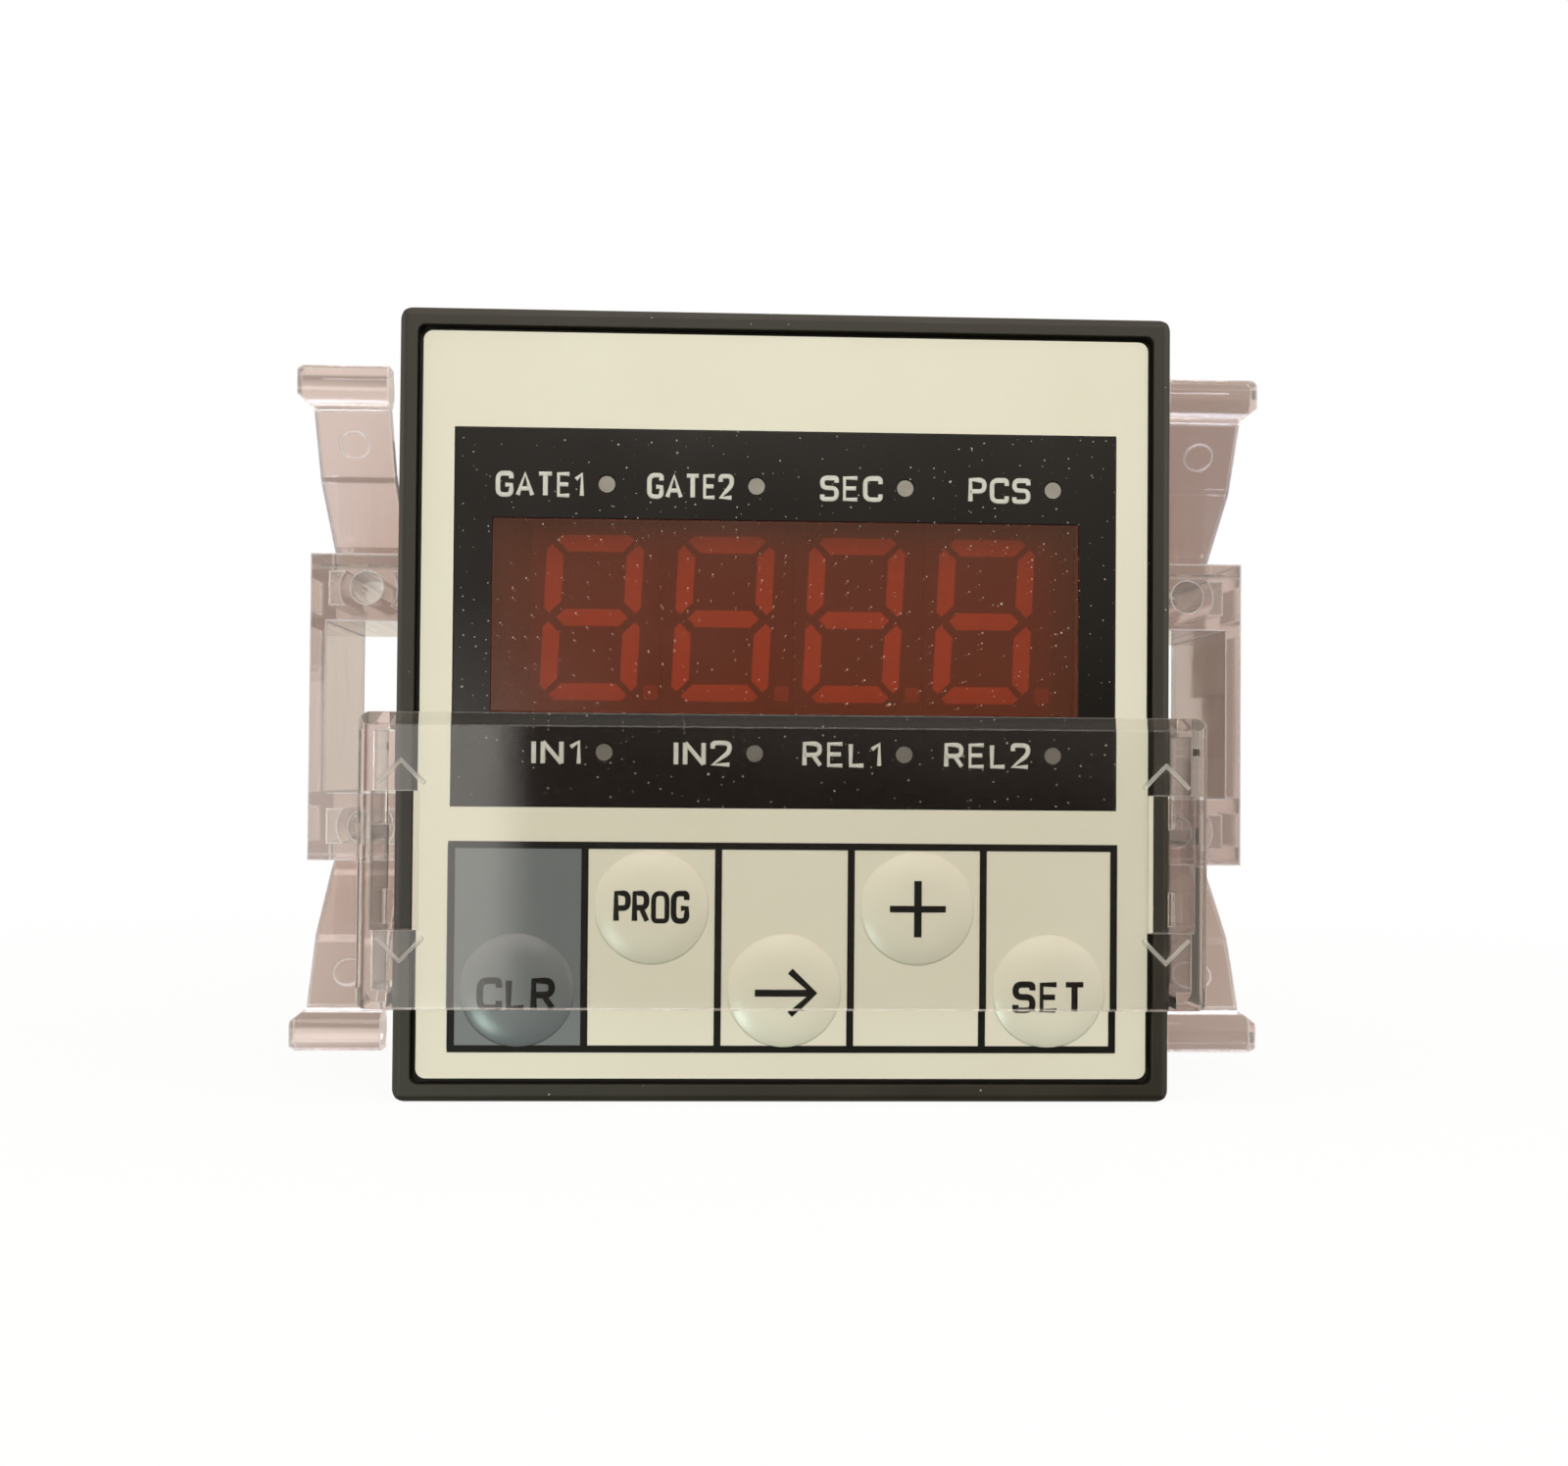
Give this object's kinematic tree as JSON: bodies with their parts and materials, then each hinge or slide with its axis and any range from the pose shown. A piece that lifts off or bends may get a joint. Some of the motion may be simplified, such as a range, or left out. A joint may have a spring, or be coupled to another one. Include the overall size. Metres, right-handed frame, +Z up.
{
  "type": "panel counter",
  "caption": "Square panel-mount counter with a red digital display, dome keys behind a clear sliding guard, clear spring clamp brackets and rear screw terminals.",
  "frame": {"origin": "centre of the panel plane, on the rear face of the bezel's seat ring", "axes": "+X to the right as read from the front, +Y from the front into the panel, +Z up"},
  "size_m": [0.0964, 0.085, 0.0734],
  "materials": {
    "abs_charcoal": "fine moulded grain",
    "film_cream": "matt printed film",
    "film_blue_grey": "matt printed film",
    "acrylic_smoke": "gloss, printed on the back",
    "acrylic_red": "gloss, transparent red",
    "module_black": "matt moulded",
    "segment_epoxy": "diffused epoxy",
    "acrylic_clear": "clear, frosted end",
    "led_white": "clear epoxy on a white chip body",
    "abs_black": "moulded",
    "board_green": "solder mask",
    "steel_zinc": "bright zinc plate",
    "relay_blue": "moulded",
    "ferrite": "sintered",
    "coil_tape": "polyester tape",
    "sleeve_blue": "shrink sleeve",
    "brass_plate": "stamped",
    "polycarbonate_clear": "clear, faint pink-brown tint"
  },
  "bodies": {
    "housing": {"bezel": "abs_charcoal", "front_sheet": "film_cream", "display_window": "acrylic_smoke", "display_filter": "acrylic_red", "digit_1": "module_black", "digit_2": "module_black", "digit_3": "module_black", "digit_4": "module_black", "segments_1": "segment_epoxy", "segments_2": "segment_epoxy", "segments_3": "segment_epoxy", "segments_4": "segment_epoxy", "light_pipes": "acrylic_clear", "indicator_leds": "led_white", "key_switches": "abs_black", "display_board": "board_green", "board_screws": "steel_zinc", "main_board": "board_green", "power_board": "board_green", "board_headers": "abs_black", "microcontroller": "abs_black", "relay_1": "relay_blue", "relay_2": "relay_blue", "transformer_core": "ferrite", "transformer_coil": "coil_tape", "capacitors": "sleeve_blue", "case": "abs_charcoal", "terminal_block": "abs_black", "terminal_plates": "brass_plate", "terminal_washers": "steel_zinc", "terminal_screws": "steel_zinc", "case_screws": "steel_zinc"},
    "reset_key": {"key_1": "film_blue_grey", "plunger_1": "abs_black"},
    "mode_key": {"key_2": "film_cream", "plunger_2": "abs_black"},
    "shift_key": {"key_3": "film_cream", "plunger_3": "abs_black"},
    "plus_key": {"key_4": "film_cream", "plunger_4": "abs_black"},
    "enter_key": {"key_5": "film_cream", "plunger_5": "abs_black"},
    "guard": {"slide_cover": "polycarbonate_clear"},
    "left_bracket": {"bracket_left": "polycarbonate_clear"},
    "right_bracket": {"bracket_right": "polycarbonate_clear"}
  },
  "joints": [
    {"name": "reset_key_press", "type": "slide", "parent": "housing", "child": "reset_key", "axis": [0, 1, 0], "range_m": [0, 0.0004], "stiffness_N_per_m": 2000, "springref_m": -0.0004},
    {"name": "mode_key_press", "type": "slide", "parent": "housing", "child": "mode_key", "axis": [0, 1, 0], "range_m": [0, 0.0004], "stiffness_N_per_m": 2000, "springref_m": -0.0004},
    {"name": "shift_key_press", "type": "slide", "parent": "housing", "child": "shift_key", "axis": [0, 1, 0], "range_m": [0, 0.0004], "stiffness_N_per_m": 2000, "springref_m": -0.0004},
    {"name": "plus_key_press", "type": "slide", "parent": "housing", "child": "plus_key", "axis": [0, 1, 0], "range_m": [0, 0.0004], "stiffness_N_per_m": 2000, "springref_m": -0.0004},
    {"name": "enter_key_press", "type": "slide", "parent": "housing", "child": "enter_key", "axis": [0, 1, 0], "range_m": [0, 0.0004], "stiffness_N_per_m": 2000, "springref_m": -0.0004},
    {"name": "guard_slide", "type": "slide", "parent": "housing", "child": "guard", "axis": [0, 0, 1], "range_m": [-0.0085, 0.0155]},
    {"name": "left_bracket_slide", "type": "slide", "parent": "housing", "child": "left_bracket", "axis": [0, 1, 0], "range_m": [-0.004, 0.034]},
    {"name": "right_bracket_slide", "type": "slide", "parent": "housing", "child": "right_bracket", "axis": [0, 1, 0], "range_m": [-0.004, 0.034]}
  ]
}
